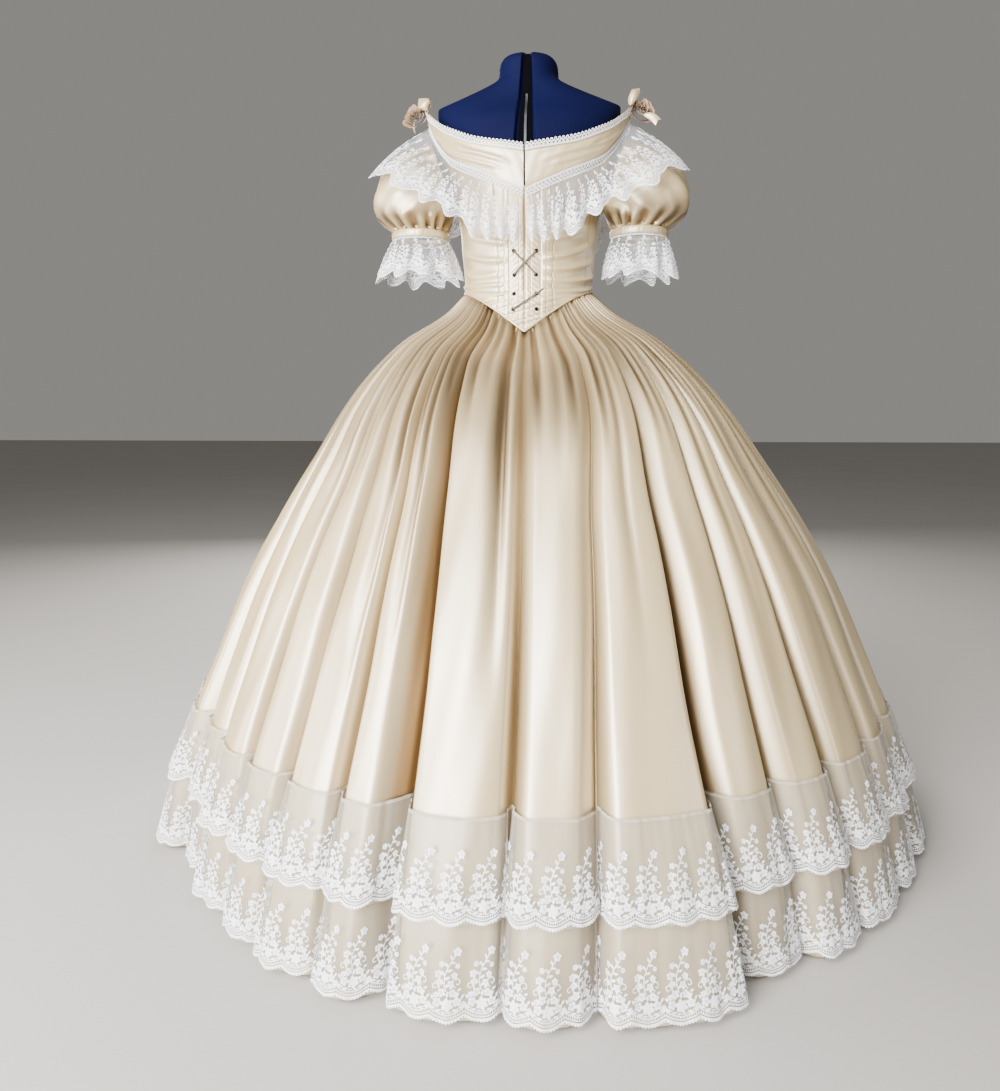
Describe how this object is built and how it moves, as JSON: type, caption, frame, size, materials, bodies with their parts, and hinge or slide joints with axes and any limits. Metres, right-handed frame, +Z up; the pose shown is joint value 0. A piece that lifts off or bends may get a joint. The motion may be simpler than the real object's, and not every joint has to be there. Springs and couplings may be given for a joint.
{
  "type": "ball gown on a dress form",
  "caption": "Back-laced ball gown with a pointed bodice, off-shoulder bertha, puff sleeves, dome skirt and lace flounces, on a limbless dress form.",
  "frame": {"origin": "middle of the underside of the form's round base, on the floor", "axes": "+Z up, the wearer's front towards -Y, the laced back towards +Y, the wearer's left towards +X"},
  "size_m": [1.481, 1.438, 1.434],
  "materials": {
    "ivory_satin": "duchess satin, high sheen",
    "white_lace": "embroidery on sheer organza and net",
    "navy_cover": "matt knitted cover",
    "black_gap": "matt",
    "stand_steel": "satin grey",
    "eyelet_bronze": "aged",
    "taupe_cord": "twisted cord",
    "taupe_ribbon": "gathered ribbon"
  },
  "bodies": {
    "root": {"form_torso": "navy_cover", "form_back_gap": "black_gap", "form_rail": "stand_steel", "stand_pole": "stand_steel", "stand_base": "stand_steel", "bodice_back_left": "ivory_satin", "bodice_back_right": "ivory_satin", "bodice_side_back_left": "ivory_satin", "bodice_side_back_right": "ivory_satin", "bodice_side_front_left": "ivory_satin", "bodice_side_front_right": "ivory_satin", "bodice_front_left": "ivory_satin", "bodice_front_right": "ivory_satin", "bodice_centre_front": "ivory_satin", "bodice_piping": "ivory_satin", "bertha_back_left": "ivory_satin", "bertha_back_right": "ivory_satin", "bertha_front": "ivory_satin", "neck_edging": "white_lace", "bertha_braid": "white_lace", "bertha_ruffle_left": "white_lace", "bertha_ruffle_right": "white_lace", "sleeve_puff_left": "ivory_satin", "sleeve_puff_right": "ivory_satin", "sleeve_band_left": "ivory_satin", "sleeve_band_right": "ivory_satin", "cuff_ruffle_left": "white_lace", "cuff_ruffle_right": "white_lace", "eyelet_left_1": "eyelet_bronze", "eyelet_right_1": "eyelet_bronze", "eyelet_left_2": "eyelet_bronze", "eyelet_right_2": "eyelet_bronze", "eyelet_left_3": "eyelet_bronze", "eyelet_right_3": "eyelet_bronze", "eyelet_left_4": "eyelet_bronze", "eyelet_right_4": "eyelet_bronze", "lacing_cross_under": "taupe_cord", "lacing_cross_over": "taupe_cord", "lacing_tail": "taupe_cord", "shoulder_rose_left": "taupe_ribbon", "shoulder_rose_right": "taupe_ribbon", "ribbon_loop_left": "ivory_satin", "ribbon_loop_right": "ivory_satin", "ribbon_tail_left": "ivory_satin", "ribbon_tail_right": "ivory_satin", "skirt_back_left": "ivory_satin", "skirt_front_left": "ivory_satin", "skirt_front_right": "ivory_satin", "skirt_back_right": "ivory_satin", "upper_flounce_left": "white_lace", "upper_flounce_right": "white_lace", "lower_flounce_left": "white_lace", "lower_flounce_right": "white_lace"}
  },
  "joints": []
}
